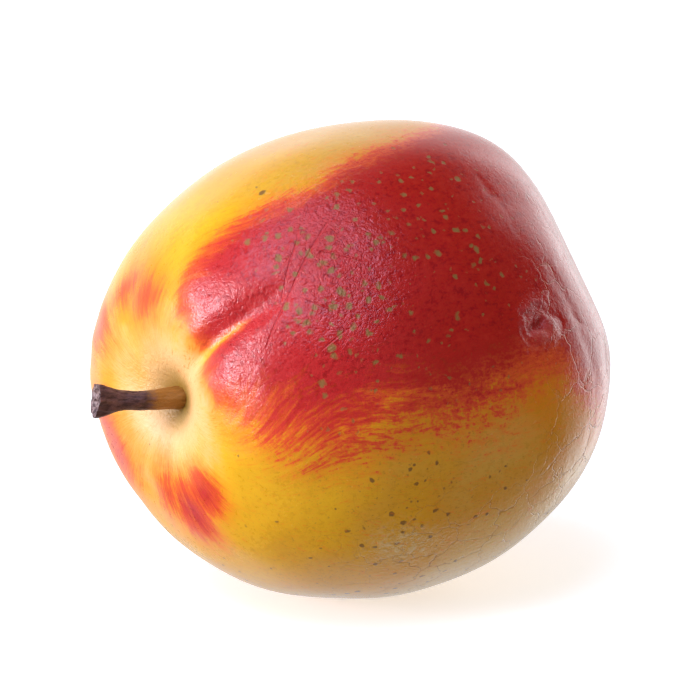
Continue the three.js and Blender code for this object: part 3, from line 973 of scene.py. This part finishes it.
CAMERA_TURN, CAMERA_RISE = math.radians(-36), math.radians(16)
CAMERA_DISTANCE = 0.45  # in metres
CAMERA_LENS = 169.0  # in mm, as Blender has it
AIM_RIGHT, AIM_UP = 0.8 * MM, 1.7 * MM  # from the fruit's middle

to_camera = Vector((math.sin(CAMERA_TURN) * math.cos(CAMERA_RISE),
                    -math.cos(CAMERA_TURN) * math.cos(CAMERA_RISE), math.sin(CAMERA_RISE)))
to_right = Vector((math.cos(CAMERA_TURN), math.sin(CAMERA_TURN), 0))
to_top = to_camera.cross(to_right)
aim = Vector(fruit_middle) + to_right * AIM_RIGHT + to_top * AIM_UP

camera = bpy.data.objects.new("camera", bpy.data.cameras.new("camera"))
camera.data.lens = CAMERA_LENS
camera.location = aim + to_camera * CAMERA_DISTANCE
camera.rotation_euler = (-to_camera).to_track_quat("-Z", "Y").to_euler()
bpy.context.collection.objects.link(camera)
bpy.context.scene.camera = camera

FLOOR_HALF = 3.0
FLOOR_WHITE, FLOOR_GLOW = 0.86, 0.55
FLOOR_ROUGHNESS, FLOOR_SHEEN = 0.9, 0.1
floor_mesh = bpy.data.meshes.new("floor")
floor_mesh.from_pydata([(-FLOOR_HALF, -FLOOR_HALF, 0), (FLOOR_HALF, -FLOOR_HALF, 0),
                        (FLOOR_HALF, FLOOR_HALF, 0), (-FLOOR_HALF, FLOOR_HALF, 0)],
                       [], [(0, 1, 2, 3)])
floor = bpy.data.objects.new("floor", floor_mesh)
bpy.context.collection.objects.link(floor)
floor_paint = Finish(bpy.data.materials.new("floor"))
floor_mesh.materials.append(floor_paint.surface(
    Base_Color=colour(FLOOR_WHITE, FLOOR_WHITE, FLOOR_WHITE), Roughness=FLOOR_ROUGHNESS,
    Specular_IOR_Level=FLOOR_SHEEN, Emission_Color=colour(1, 1, 1),
    Emission_Strength=FLOOR_GLOW))
floor.visible_glossy = floor.visible_diffuse = False

# The soft lights: name, direction to the right, up and back of the camera's axes, distance,
# width and height in metres, brightness, and tint.
KEY_WAY, KEY_TINT = (-0.90, 0.06, 0.32), (1.0, 0.96, 1.06)
SOFT_LIGHTS = (
    ("key_core", KEY_WAY, 0.59, 0.14, 0.13, 27.0, KEY_TINT),
    ("key_light", KEY_WAY, 0.6, 0.28, 0.26, 7.0, KEY_TINT),
    ("key_spread", KEY_WAY, 0.61, 0.50, 0.44, 2.0, KEY_TINT),
    ("top_light", (-0.28, 0.74, 0.60), 0.6, 0.46, 0.44, 3.8, (0.78, 1.06, 1.55)),
    ("rim_light", (0.75, 0.24, -0.68), 0.6, 0.44, 0.95, 1.45, (1.0, 1.0, 1.02)),
)


def soft_light(name, way, distance, width, height, brightness, tint):
    """A square soft light that faces the fruit from the direction way, in the camera's own
    axes. Its power is pi * area * brightness, so that a larger light looks as bright."""
    right, up, back = way
    way = (to_right * right + to_top * up + to_camera * back).normalized()
    light = bpy.data.lights.new(name, "AREA")
    light.shape = "RECTANGLE"
    light.size, light.size_y = width, height
    light.energy = math.pi * width * height * brightness
    light.color = tint
    lamp = bpy.data.objects.new(name, light)
    lamp.location = Vector(fruit_middle) + way * distance
    lamp.rotation_euler = (-way).to_track_quat("-Z", "Y").to_euler()
    bpy.context.collection.objects.link(lamp)


for soft in SOFT_LIGHTS:
    soft_light(*soft)

# The surround lights the fruit evenly, with more from below. Only what lies behind the
# fruit is bright enough to be seen in the skin, and less of that below the horizon.
EVEN_LIGHT, LIGHT_FROM_BELOW, BELOW_HEIGHTS = 0.40, 0.35, (0.2, -0.8)
BEHIND_LIGHT, BEHIND_SIDES = 1.5, (-0.15, -0.75)
BEHIND_LOW_SHARE, BEHIND_HEIGHTS = 0.65, (-0.45, -0.05)
surround = Finish(bpy.data.worlds.new("surround"))
ray = surround.node("ShaderNodeLightPath").socket.node
seen = Flow(surround, ray.outputs["Is Camera Ray"])
mirrored = Flow(surround, ray.outputs["Is Glossy Ray"])
sky = surround.node("ShaderNodeTexCoord", (), (), "Generated")
towards_camera = surround.dot(sky, to_camera)
upwards = surround.part(sky, 2)
behind = surround.step(*BEHIND_SIDES, towards_camera) * BEHIND_LIGHT * (
    surround.step(*BEHIND_HEIGHTS, upwards) * (1 - BEHIND_LOW_SHARE) + BEHIND_LOW_SHARE)
even = surround.step(*BELOW_HEIGHTS, upwards) * LIGHT_FROM_BELOW + EVEN_LIGHT
strength = seen + (1 - seen) * (mirrored * behind + (1 - mirrored) * even)
surround.node("ShaderNodeOutputWorld", (), {"Surface": surround.node(
    "ShaderNodeBackground", (), {"Color": colour(1, 1, 1), "Strength": strength})})
bpy.context.scene.world = surround.owner
bpy.context.scene.view_settings.view_transform = "Standard"
